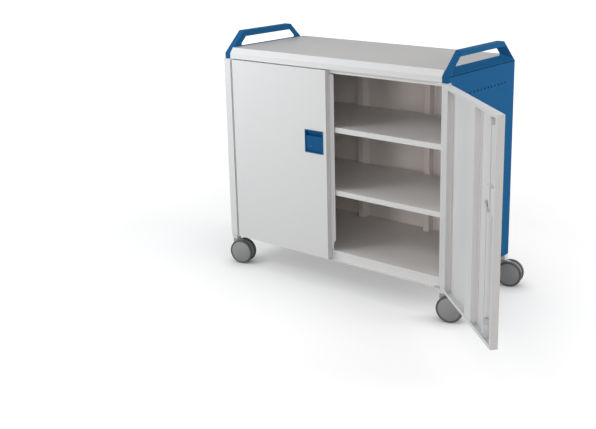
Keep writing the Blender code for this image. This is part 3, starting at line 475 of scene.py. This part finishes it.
def paint_lighting_on_side(node, coat, facing):
    """Give the faces of an eased copy that look one way a second material of painted lighting."""
    mesh = bpy.data.objects[node + "_eased"].data
    mesh.materials.append(coat)
    for face in mesh.polygons:
        face.material_index = int(face.normal.dot(facing) > SQUARE_ON)
    print(node, len(mesh.materials), "coats")


# the worktop's top gets painted shade, the faces inside get painted bounce light
paint_lighting_on_side("top_board", worktop_painted_shade, UPWARDS)
for node in ("base_tray", "lower_shelf", "upper_shelf"):
    paint_lighting_on_side(node, inside_bounce_light, UPWARDS)
paint_lighting_on_side("back_panel", inside_bounce_light, FORWARDS)

# %% [markdown]
# ## Painted shade behind the vents
#
# The vent holes in the end panels look black, because the panel's inside behind them is in shade.  That
# shade is painted as a strip of near-black sheet behind the holes: a thin box just inside the sheet, a little
# larger than the row of holes.  Its size comes from the holes themselves: the points of the panel's outer
# face that lie well inside its outline.

# %% Paint the shade behind each vent row
SHADE_SHEET_GAP = 0.0004
SHADE_SHEET_THICKNESS = 0.003
SHADE_SHEET_MARGIN = 0.006
# near-black that paints the shade inside the vent holes
SHADE_SHEET_GREY = (0.012, 0.012, 0.013)
SHADE_SHEET_TEXTURE = 0.0002
PANEL_SHEET = 0.0015
SIDE_BAND = 0.012  # no vents within this distance of the front and rear edges
TOP_BAND = 0.04  # nor of the upper edge
ON_FACE = 1e-4
vent_shade_material = moulded("vent_shade_material", SHADE_SHEET_GREY, roughness=0.80, depth=SHADE_SHEET_TEXTURE, shine=0.1)


def box_between(first, last):
    """A box from one corner to the opposite corner, as a bmesh."""
    bm = bmesh.new()
    bmesh.ops.create_cube(bm, size=1.0)
    bmesh.ops.scale(bm, vec=last - first, verts=bm.verts)
    bmesh.ops.translate(bm, vec=(first + last) / 2, verts=bm.verts)
    return bm


def vent_shade_sheet(word, side):
    """A near-black sheet behind one end panel's vents, painted shade; side is -1 on the left and 1 on the right.
    """
    low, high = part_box(word + "_end_panel")
    outer = high.x if side > 0 else low.x
    rims = []
    for corner in nodes[word + "_end_panel"].data.vertices:
        spot = corner.co
        across = low.y + SIDE_BAND < spot.y < high.y - SIDE_BAND
        upper = (low.z + high.z) / 2 < spot.z < high.z - TOP_BAND
        if across and upper and abs(spot.x - outer) < ON_FACE:
            rims.append(spot)
    first = Vector([min(places) - SHADE_SHEET_MARGIN for places in zip(*rims)])
    last = Vector([max(places) + SHADE_SHEET_MARGIN for places in zip(*rims)])
    near = outer - side * (PANEL_SHEET + SHADE_SHEET_GAP)
    first.x, last.x = sorted((near, near - side * SHADE_SHEET_THICKNESS))
    return make_piece(word + "_vent_shade_sheet", box_between(first, last), vent_shade_material, "carcass", "blue_coat")


for word, side in (("left", -1), ("right", 1)):
    shade_piece = vent_shade_sheet(word, side)
    print(shade_piece.name, [round(c, 4) for c in shade_piece.dimensions])

# %% [markdown]
# ## Seams under the handles
#
# A handle stands on its end panel with a thin joint, which shows as a dark line because no light gets
# in.  The gap between the solids is too fine for the picture, so a dark strip of painted shadow fills the
# groove that the rounded edges leave.

# %% Paint the shadow in the joint under each handle
SEAM_SHADOW_DEPTH = 0.003
SEAM_SHADOW_PROUD = 0.0001
SEAM_SHADOW_HALF = 0.0012  # above and below the joint
SEAM_SHADOW_INSET = 0.002  # from the ends of the joint
# dark blue that paints the shadow in the joint
SEAM_SHADOW_BLUE = (0.002, 0.012, 0.028)
SEAM_SHADOW_TEXTURE = 0.00002
seam_shadow = moulded("seam_shadow", SEAM_SHADOW_BLUE, roughness=0.80, depth=SEAM_SHADOW_TEXTURE, shine=0.05)


def seam_shadow_strip(word, side):
    """A dark strip of painted shadow in the joint under one handle."""
    panel_low, panel_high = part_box(word + "_end_panel")
    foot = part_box(word + "_handle")[0].z
    face = panel_high.x if side > 0 else panel_low.x
    near = face + side * SEAM_SHADOW_PROUD
    first_x, last_x = sorted((near, near - side * SEAM_SHADOW_DEPTH))
    first = Vector((first_x, panel_low.y + SEAM_SHADOW_INSET, panel_high.z - SEAM_SHADOW_HALF))
    last = Vector((last_x, panel_high.y - SEAM_SHADOW_INSET, foot + SEAM_SHADOW_HALF))
    return make_piece(word + "_handle_seam", box_between(first, last), seam_shadow, "carcass", "blue_coat")


for word, side in (("left", -1), ("right", 1)):
    shadow_strip = seam_shadow_strip(word, side)
    print(shadow_strip.name, [round(c, 4) for c in shadow_strip.dimensions])

# %% [markdown]
# ## Rivets
#
# The back is a shallow sheet tray that is riveted to the posts, the floor and the top all round.  A
# rivet head is a flat dome: a small sphere, squashed and set with its middle on the face, so that only
# half of it shows.  The heads are made in one bmesh, because they are all painted with the panel.

# %% Rivet the back panel
RIVET_RADIUS = 0.0042
RIVET_HEIGHT = 0.0014
RIVET_EDGE = 0.013  # from the edge of the panel to the middle of a rivet
RIVET_PITCH = 0.15  # about
RIVET_SIDES = 14
RIVET_RINGS = 8


def even_places(start, end):
    """Places from start to end, about one pitch apart."""
    count = round((end - start) / RIVET_PITCH)
    return [start + (end - start) * i / count for i in range(count + 1)]


low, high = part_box("back_panel")
columns = even_places(low.x + RIVET_EDGE, high.x - RIVET_EDGE)
rows = even_places(low.z + RIVET_EDGE, high.z - RIVET_EDGE)
side_columns = (columns[0], columns[-1])
end_rows = (rows[0], rows[-1])
spots = [(x, z) for x in columns for z in rows if x in side_columns or z in end_rows]
bm = bmesh.new()
for x, z in spots:
    made = bmesh.ops.create_uvsphere(bm, u_segments=RIVET_SIDES, v_segments=RIVET_RINGS, radius=RIVET_RADIUS)
    head = made["verts"]
    bmesh.ops.scale(bm, vec=(1.0, RIVET_HEIGHT / RIVET_RADIUS, 1.0), verts=head)
    bmesh.ops.translate(bm, vec=(x, high.y, z), verts=head)
make_piece("back_panel_rivets", bm, light_coat, "carcass", "light_coat")
print(len(spots), "rivets")

# %% [markdown]
# ## Castor wheels
#
# A twin-wheel castor has a plastic centre with a plain, slightly domed face, and a softer tread pressed
# over it.  The solid has both in one, so here they become two pieces.  Each is a half section, a short
# line of points from the axle outwards, which is spun round the axle.  A round edge in a section is a
# quarter of an ellipse, which one helper works out.

# %% Helpers that spin a section
SPIN_STEPS = 64
ROUND_STEPS = 3


def spun(section, axle, direction, closed):
    """A half section of (radius, distance along the axle), spun round the axle."""
    bm = bmesh.new()
    verts = [bm.verts.new(axle + direction * along + UPWARDS * radius) for radius, along in section]
    for pair in zip(verts, verts[1:]):
        bm.edges.new(pair)
    if closed:
        bm.edges.new((verts[-1], verts[0]))
    everything = bm.verts[:] + bm.edges[:]
    bmesh.ops.spin(
        bm, geom=everything, cent=axle, axis=direction, angle=2 * math.pi, steps=SPIN_STEPS, use_merge=True,
    )
    return bm


def rounded(radius, along, wide, deep):
    """A round edge in a section: from a face at one place along the axle to a side at one radius."""
    turns = [math.pi / 2 * step / ROUND_STEPS for step in range(ROUND_STEPS + 1)]
    return [(radius - wide + wide * math.sin(turn), along + deep * (1.0 - math.cos(turn))) for turn in turns]


print("sections are spun in", SPIN_STEPS, "steps")

# %% [markdown]
# The centre's face falls off like a shallow dish turned over: hardly at all in the middle, and more and
# more towards the seat of the tread.  A power of the radius gives that in one line.

# %% The section of a wheel's centre
WHEEL_RADIUS = (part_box("front_left_near_wheel")[1].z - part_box("front_left_near_wheel")[0].z) / 2
INNER_FACE = 0.0083  # from the middle of the hood to the inner face of a wheel
WHEEL_WIDTH = 0.0205
OUTER_FACE = INNER_FACE + WHEEL_WIDTH
SEAT = 0.855 * WHEEL_RADIUS  # where the tread sits on the centre
SEAT_DROP = 0.0076  # behind the outer face, at the seat
DOME_START = 0.0002  # behind the outer face, in the middle
DOME_POWER = 2.2
DOME_STEPS = 8
CENTRE_BACK = 0.0015  # in front of the inner face, at the seat
CENTRE_FLAT = 0.45 * SEAT  # within this radius the back of the centre is flat
BORE = 0.0053
BORE_DEPTH = 0.0148


def centre_section():
    """The half section of a wheel's plastic centre."""
    shares = [step / DOME_STEPS for step in range(DOME_STEPS + 1)]
    fall = SEAT_DROP - DOME_START
    dome = [(share * SEAT, OUTER_FACE - DOME_START - fall * share ** DOME_POWER) for share in shares]
    back = [(SEAT, INNER_FACE + CENTRE_BACK), (CENTRE_FLAT, INNER_FACE), (BORE, INNER_FACE)]
    bore_end = INNER_FACE + BORE_DEPTH
    return dome + back + [(BORE, bore_end), (0.0, bore_end)]


print("centre drawn with", len(centre_section()), "points, wheel radius", round(WHEEL_RADIUS, 4))

# %% [markdown]
# The tread stands a little higher than the edge of the centre, as a soft round bead, and has a rounded
# shoulder on the inner side.  The axles' places and directions come from the wheel joints, so each piece
# turns with its own wheel.

# %% Spin the centres and treads
CROWN_DROP = 0.0060  # behind the outer face, on top of the bead
TREAD_FLAT = 0.0102  # behind the outer face, where the running face begins
TREAD_BACK = 0.0003  # in front of the inner face
SHOULDER_WIDE = 0.0035
SHOULDER_DEEP = 0.0042


def tread_section():
    """The half section of a wheel's tread."""
    half = (WHEEL_RADIUS - SEAT) / 2
    back = INNER_FACE + TREAD_BACK
    crown = OUTER_FACE - CROWN_DROP
    shoulder = rounded(WHEEL_RADIUS, back, SHOULDER_WIDE, SHOULDER_DEEP)
    outer = rounded(WHEEL_RADIUS, crown, half, CROWN_DROP - TREAD_FLAT)
    inner = rounded(SEAT, crown, -half, CROWN_DROP - SEAT_DROP)
    return [(SEAT, back)] + shoulder + outer[::-1] + inner[1:]


corners = [end + "_" + side for end in ("front", "rear") for side in ("left", "right")]
for corner in corners:
    for word, hand in (("near", -1.0), ("far", 1.0)):
        node = corner + "_" + word + "_wheel"
        joint = joints[node + "_roll"]
        axle = Vector(joint["pos_m"])
        direction = hand * Vector(joint["axis"]).normalized()
        body = joint["child"]
        centre = spun(centre_section(), axle, direction, closed=False)
        tread = spun(tread_section(), axle, direction, closed=True)
        make_piece(node + "_centre", centre, disc_plastic, body, "wheel_plastic", node)
        make_piece(node + "_tread", tread, tread_rubber, body, "wheel_plastic", node)
print("treads drawn with", len(tread_section()), "points, on", len(corners), "castors")

# %% [markdown]
# ## Locks
#
# One door is shut and the other stands open, so both locks are drawn the same way, in the door's own
# directions: along it from the hinge, inwards through it, and up.  They could be typed in for each door,
# but the joints of the lock and the door already hold them, and stay right if a door is turned.

# %% A door's own directions
def reach(node, way):
    """The least and greatest distance of a solid's points along a direction."""
    along = [corner.co.dot(way) for corner in nodes[node].data.vertices]
    return min(along), max(along)


def door_axes(word):
    """A door's own directions: the frame has its origin at the lock, on the face of the door."""
    lock = Vector(joints[word + "_lock_turn"]["pos_m"])
    hinge = Vector(joints[word + "_door_swing"]["pos_m"])
    inwards = Vector(joints[word + "_lock_turn"]["axis"]).normalized()
    if sum(reach(word + "_lock_cam", inwards)) < sum(reach(word + "_pull", inwards)):
        inwards.negate()
    along = lock - hinge
    along = (along - inwards * along.dot(inwards) - UPWARDS * along.z).normalized()
    origin = lock + inwards * (reach(word + "_door_shell", inwards)[0] - lock.dot(inwards))
    turn = Matrix((along, inwards, UPWARDS)).transposed().to_4x4()
    return Matrix.Translation(origin) @ turn


for word in ("left", "right"):
    print(word, "lock at", [round(c, 4) for c in door_axes(word).translation])

# %% [markdown]
# Behind each pull a square steel cover closes off the moulding, and only the tail of the lock comes
# through it.  The cover could be cut from a solid; here it is a box without a front, parted by four
# planes round the lock's tail so that one small face can go, and then given the thickness of a sheet.

# %% Cover the back of each pull
COVER_INSET = 0.001  # inside the outline of the pull's rim
COVER_FRONT = 0.0018  # behind the face of the door
COVER_BACK = 0.0161
COVER_SHEET = 0.0005
COVER_FOLD = 0.003
COVER_FOLD_STEPS = 3
TAIL_HOLE = 0.0046  # half the width of the hole for the lock's tail
ALONG_DOOR = Vector((1.0, 0.0, 0.0))


def lock_cover(word):
    """A sheet cover behind one door's pull, with a hole for the tail of the lock."""
    axes = door_axes(word)
    origin, along = axes.translation, axes.col[0].to_3d()
    near, far = [place - origin.dot(along) for place in reach(word + "_pull", along)]
    low, high = [place - origin.z for place in reach(word + "_pull", UPWARDS)]
    first = Vector((near + COVER_INSET, COVER_FRONT, low + COVER_INSET))
    last = Vector((far - COVER_INSET, COVER_BACK, high - COVER_INSET))
    bm = box_between(first, last)
    front = [face for face in bm.faces if face.normal.y < -SQUARE_ON]
    bmesh.ops.delete(bm, geom=front, context="FACES")
    folds = [edge for edge in bm.edges if edge.is_manifold]
    bmesh.ops.bevel(
        bm, geom=folds, offset=COVER_FOLD, offset_type="OFFSET", affect="EDGES", segments=COVER_FOLD_STEPS,
        profile=ROUND_PROFILE, material=-1,
    )
    for way in (ALONG_DOOR, UPWARDS):
        for side in (-TAIL_HOLE, TAIL_HOLE):
            everything = bm.verts[:] + bm.edges[:] + bm.faces[:]
            bmesh.ops.bisect_plane(bm, geom=everything, plane_co=way * side, plane_no=way)
    hole = []
    for face in bm.faces:
        spot = face.calc_center_median()
        if face.normal.y > SQUARE_ON and max(abs(spot.x), abs(spot.z)) < TAIL_HOLE:
            hole.append(face)
    bmesh.ops.delete(bm, geom=hole, context="FACES")
    bmesh.ops.solidify(bm, geom=bm.faces[:], thickness=COVER_SHEET)
    bmesh.ops.transform(bm, matrix=axes, verts=bm.verts)
    return make_piece(word + "_lock_cover", bm, light_coat, word + "_door", "light_coat")


for word in ("left", "right"):
    cover = lock_cover(word)
    print(cover.name, len(cover.data.polygons), "faces")

# %% [markdown]
# The lock itself shows as a small round plug in the grip plate.  Its ring is as blue as the pull, and
# only the core with the key slot is metal, a dark bluish one.  Ring and core are half sections spun
# round the axis of the lock; the shade in the key slot is painted as a thin dark bar let into the core.

# %% Spin the lock plugs
PLUG_FRONT = 0.0003  # in front of the face of the door
CORE_RADIUS = 0.0032
CORE_GAP = 0.0001
CORE_SUNK = 0.0002
CORE_ROUND = 0.0005
CORE_BACK = 0.0195  # behind the face of the door
RING_RADIUS = 0.0070
RING_ROUND = 0.0006
RING_LIP = 0.0003
RING_BACK = 0.0153  # behind the face of the door
SLOT_WIDTH = 0.0008
SLOT_DEPTH = 0.0010
SLOT_HEIGHT = 0.0044
SLOT_SUNK = 0.00015  # behind the front of the ring
CORE_GREY = (0.10, 0.16, 0.21)
# near-black that paints the shade inside the key slot
SLOT_SHADE_GREY = (0.02, 0.02, 0.022)
SLOT_TEXTURE = 0.00002
dark_core = zinc_plate("dark_core", CORE_GREY, roughness=0.45)
slot_shade_paint = moulded("slot_shade_paint", SLOT_SHADE_GREY, roughness=0.60, depth=SLOT_TEXTURE, shine=0.2)


def plug_ring_section():
    """The half section of the blue ring round the core of the lock."""
    lip = [(CORE_RADIUS, PLUG_FRONT - RING_LIP), (CORE_RADIUS + RING_LIP, PLUG_FRONT)]
    edge = rounded(RING_RADIUS, PLUG_FRONT, RING_ROUND, -RING_ROUND)
    return lip + edge + [(RING_RADIUS, -RING_BACK), (CORE_RADIUS, -RING_BACK)]


def plug_core_section():
    """The half section of the core of the lock."""
    radius = CORE_RADIUS - CORE_GAP
    front = PLUG_FRONT - CORE_SUNK
    edge = rounded(radius, front, CORE_ROUND, -CORE_ROUND)
    return [(0.0, front)] + edge + [(radius, -CORE_BACK), (0.0, -CORE_BACK)]


def key_slot_shade():
    """A dark bar that paints the shade in the key slot, in the door's own directions."""
    front = SLOT_SUNK - PLUG_FRONT
    first = Vector((-SLOT_WIDTH / 2, front, -SLOT_HEIGHT / 2))
    last = Vector((SLOT_WIDTH / 2, front + SLOT_DEPTH, SLOT_HEIGHT / 2))
    return box_between(first, last)


for word in ("left", "right"):
    axes = door_axes(word)
    node, body = word + "_lock_plug", word + "_lock"
    outwards = -axes.col[1].to_3d()
    ring = spun(plug_ring_section(), axes.translation, outwards, closed=True)
    core = spun(plug_core_section(), axes.translation, outwards, closed=False)
    make_piece(node + "_ring", ring, blue_plastic, body, "zinc_steel", node)
    make_piece(node + "_core", core, dark_core, body, "zinc_steel", node)
    # the dark bar is painted shade in the key slot
    slot = key_slot_shade()
    bmesh.ops.transform(slot, matrix=axes, verts=slot.verts)
    make_piece(node + "_slot", slot, slot_shade_paint, body, "zinc_steel", node)
    print(node, "spun round", joints[word + "_lock_turn"]["name"])

# %% [markdown]
# ## Floor, backdrop and light
#
# The cabinet stands on white paper that fades into a white background, under large soft lamps.  Making
# the floor bright with more light would bleach the cabinet, so the floor adds a glow of its own, only for
# the rays that come from the camera, from a reflection or through glass.  Ambient occlusion dims the glow
# near the cabinet, broadly under it and tightly round the wheels, and that draws the soft shadow.  Far
# from the cabinet the glow rises, where the lamps' light on the paper dies away.

# %% Floor
FLOOR_SIZE = 24.0
SHADE_REACH = 0.6  # things within this distance shade the floor's glow
CONTACT_REACH = 0.08  # and within this one they also shade it where a wheel meets the floor
SHADE_SAMPLES = 16
FULL_SHADE = 0.2  # share of open sky at which the glow is at its least
SHADE_GLOW = 0.33
OPEN_GLOW = 0.62
FAR_START = 1.2  # distance from the cabinet at which the glow begins to rise
FAR_END = 3.2
FAR_GLOW = 0.38
FIBRE_GRAIN = 0.004
PAPER_GREY = (0.50, 0.50, 0.50)
PAPER_DRIFT = 0.02


def sky_share(wire, distance):
    """The share of open sky over the floor, where only things within a distance count."""
    settings = {"samples": SHADE_SAMPLES}
    return wire.node("ShaderNodeAmbientOcclusion", settings, {"Distance": distance}, output="AO")


def ramp(wire, value, start, end, low, high):
    """A value brought from one range to another, and kept inside it."""
    ends = {"Value": value, "From Min": start, "From Max": end, "To Min": low, "To Max": high}
    return wire.node("ShaderNodeMapRange", {}, ends)


def seen_rays(wire):
    """1 for rays from the camera, from reflections and through glass, otherwise 0."""
    path = wire.node("ShaderNodeLightPath")
    outputs = path.socket.node.outputs
    names = ("Is Camera Ray", "Is Glossy Ray", "Is Transmission Ray")
    camera_ray, glossy_ray, glass_ray = [Wire(wire.tree, outputs[name]) for name in names]
    first = wire.maths("MAXIMUM", camera_ray, glossy_ray)
    return wire.maths("MAXIMUM", first, glass_ray)


def floor_paper():
    """White paper that is matt to the lamps and glows where it is seen."""
    made = bpy.data.materials.new("floor_paper")
    made.use_nodes = True
    tree = made.node_tree
    tree.nodes.clear()
    wire = Wire(tree)
    fibre = noise(wire, place_on(wire), FIBRE_GRAIN, detail=3.0)
    shade = blend(wire, fibre, tone(PAPER_GREY, -PAPER_DRIFT), tone(PAPER_GREY, PAPER_DRIFT))
    matt = wire.node("ShaderNodeBsdfDiffuse", {}, {"Color": shade})
    contact = sky_share(wire, CONTACT_REACH)
    rising = ramp(wire, sky_share(wire, SHADE_REACH), FULL_SHADE, 1.0, SHADE_GLOW, OPEN_GLOW)
    ends = {0: wire.node("ShaderNodeTexCoord", output="Object"), 1: HOME}
    distance = wire.node("ShaderNodeVectorMath", {"operation": "DISTANCE"}, ends, output="Value")
    far = ramp(wire, distance, FAR_START, FAR_END, 0.0, FAR_GLOW)
    glow = wire.node("ShaderNodeEmission", {}, {"Strength": seen_rays(wire) * contact * (rising + far)})
    both = wire.node("ShaderNodeAddShader", {}, {0: matt, 1: glow})
    wire.node("ShaderNodeOutputMaterial", {}, {"Surface": both})
    return made


bm = bmesh.new()
bmesh.ops.create_grid(bm, x_segments=1, y_segments=1, size=FLOOR_SIZE / 2)
bmesh.ops.translate(bm, vec=(HOME.x, HOME.y, 0.0), verts=bm.verts)
floor_mesh = bpy.data.meshes.new("floor")
bm.to_mesh(floor_mesh)
bm.free()
floor_mesh.materials.append(floor_paper())
floor = bpy.data.objects.new("floor", floor_mesh)
bpy.context.scene.collection.objects.link(floor)
print("floor", FLOOR_SIZE, "m across")

# %% [markdown]
# The world is plain white, but only where it is seen.  For the light that falls on the cabinet it is much
# dimmer, because a room lit evenly from all sides has no shading.

# %% World
WORLD_LIGHT = 0.30
WHITE = (1.0, 1.0, 1.0, 1.0)
world = bpy.data.worlds.new("studio")
world.use_nodes = True
bpy.context.scene.world = world
sky = world.node_tree.nodes["Background"]
sky.inputs["Color"].default_value = WHITE
seen = seen_rays(Wire(world.node_tree))
strength = seen + (1.0 - seen) * WORLD_LIGHT
world.node_tree.links.new(strength.socket, sky.inputs["Strength"])
print("world light", WORLD_LIGHT)

# %% [markdown]
# The front of the cabinet is brightest at its upper left and falls off to the lower right.  A weak main
# lamp on the left and a corner lamp close to the upper left give that fall, and both are a little cool.
# Two warmer lamps stand in front.  The low one is nearly square on, so that it lights the open door's
# inner face and leaves the sides of its folds darker.  The other stands far to the right, and reaches
# past the shut door into the left of the open bay.  A side lamp lights the blue end panel, and a top
# lamp the worktop.  All are large discs, because large lamps make soft shadows.

# %% Lamps
COOL = (0.92, 0.965, 1.0)
WARM = (1.0, 0.925, 0.86)
PLAIN = (1.0, 1.0, 1.0)


def panel_lamp(name, stand, aim, size, power, tint):
    """A round soft lamp; its stand and aim are measured from the cabinet's reference point."""
    lamp = bpy.data.lights.new(name, "AREA")
    lamp.shape = "DISK"
    lamp.size = size
    lamp.energy = power
    lamp.color = tint
    thing = bpy.data.objects.new(name, lamp)
    thing.location = HOME + Vector(stand)
    toward = HOME + Vector(aim) - thing.location
    thing.rotation_euler = toward.to_track_quat("-Z", "Y").to_euler()
    bpy.context.scene.collection.objects.link(thing)
    print(name, power, "W")


panel_lamp("main_lamp", stand=(-2.2, -1.2, 1.0), aim=(-0.4, 0.0, 0.6), size=1.2, power=7.0, tint=COOL)
panel_lamp("corner_lamp", stand=(-1.0, -1.2, 1.5), aim=(-0.45, 0.0, 0.85), size=0.9, power=13.5, tint=COOL)
panel_lamp("low_lamp", stand=(0.2, -3.3, 0.6), aim=(0.1, 0.0, 0.5), size=1.0, power=18.5, tint=WARM)
panel_lamp("front_lamp", stand=(2.5, -2.7, 1.4), aim=(0.2, 0.0, 0.5), size=1.2, power=18.0, tint=WARM)
panel_lamp("side_lamp", stand=(2.6, 1.2, 1.3), aim=(0.5, 0.2, 0.5), size=1.6, power=39.0, tint=PLAIN)
panel_lamp("top_lamp", stand=(0.2, 0.1, 2.7), aim=(0.1, 0.1, 0.9), size=1.4, power=11.5, tint=PLAIN)
bpy.context.scene.view_settings.view_transform = "Standard"
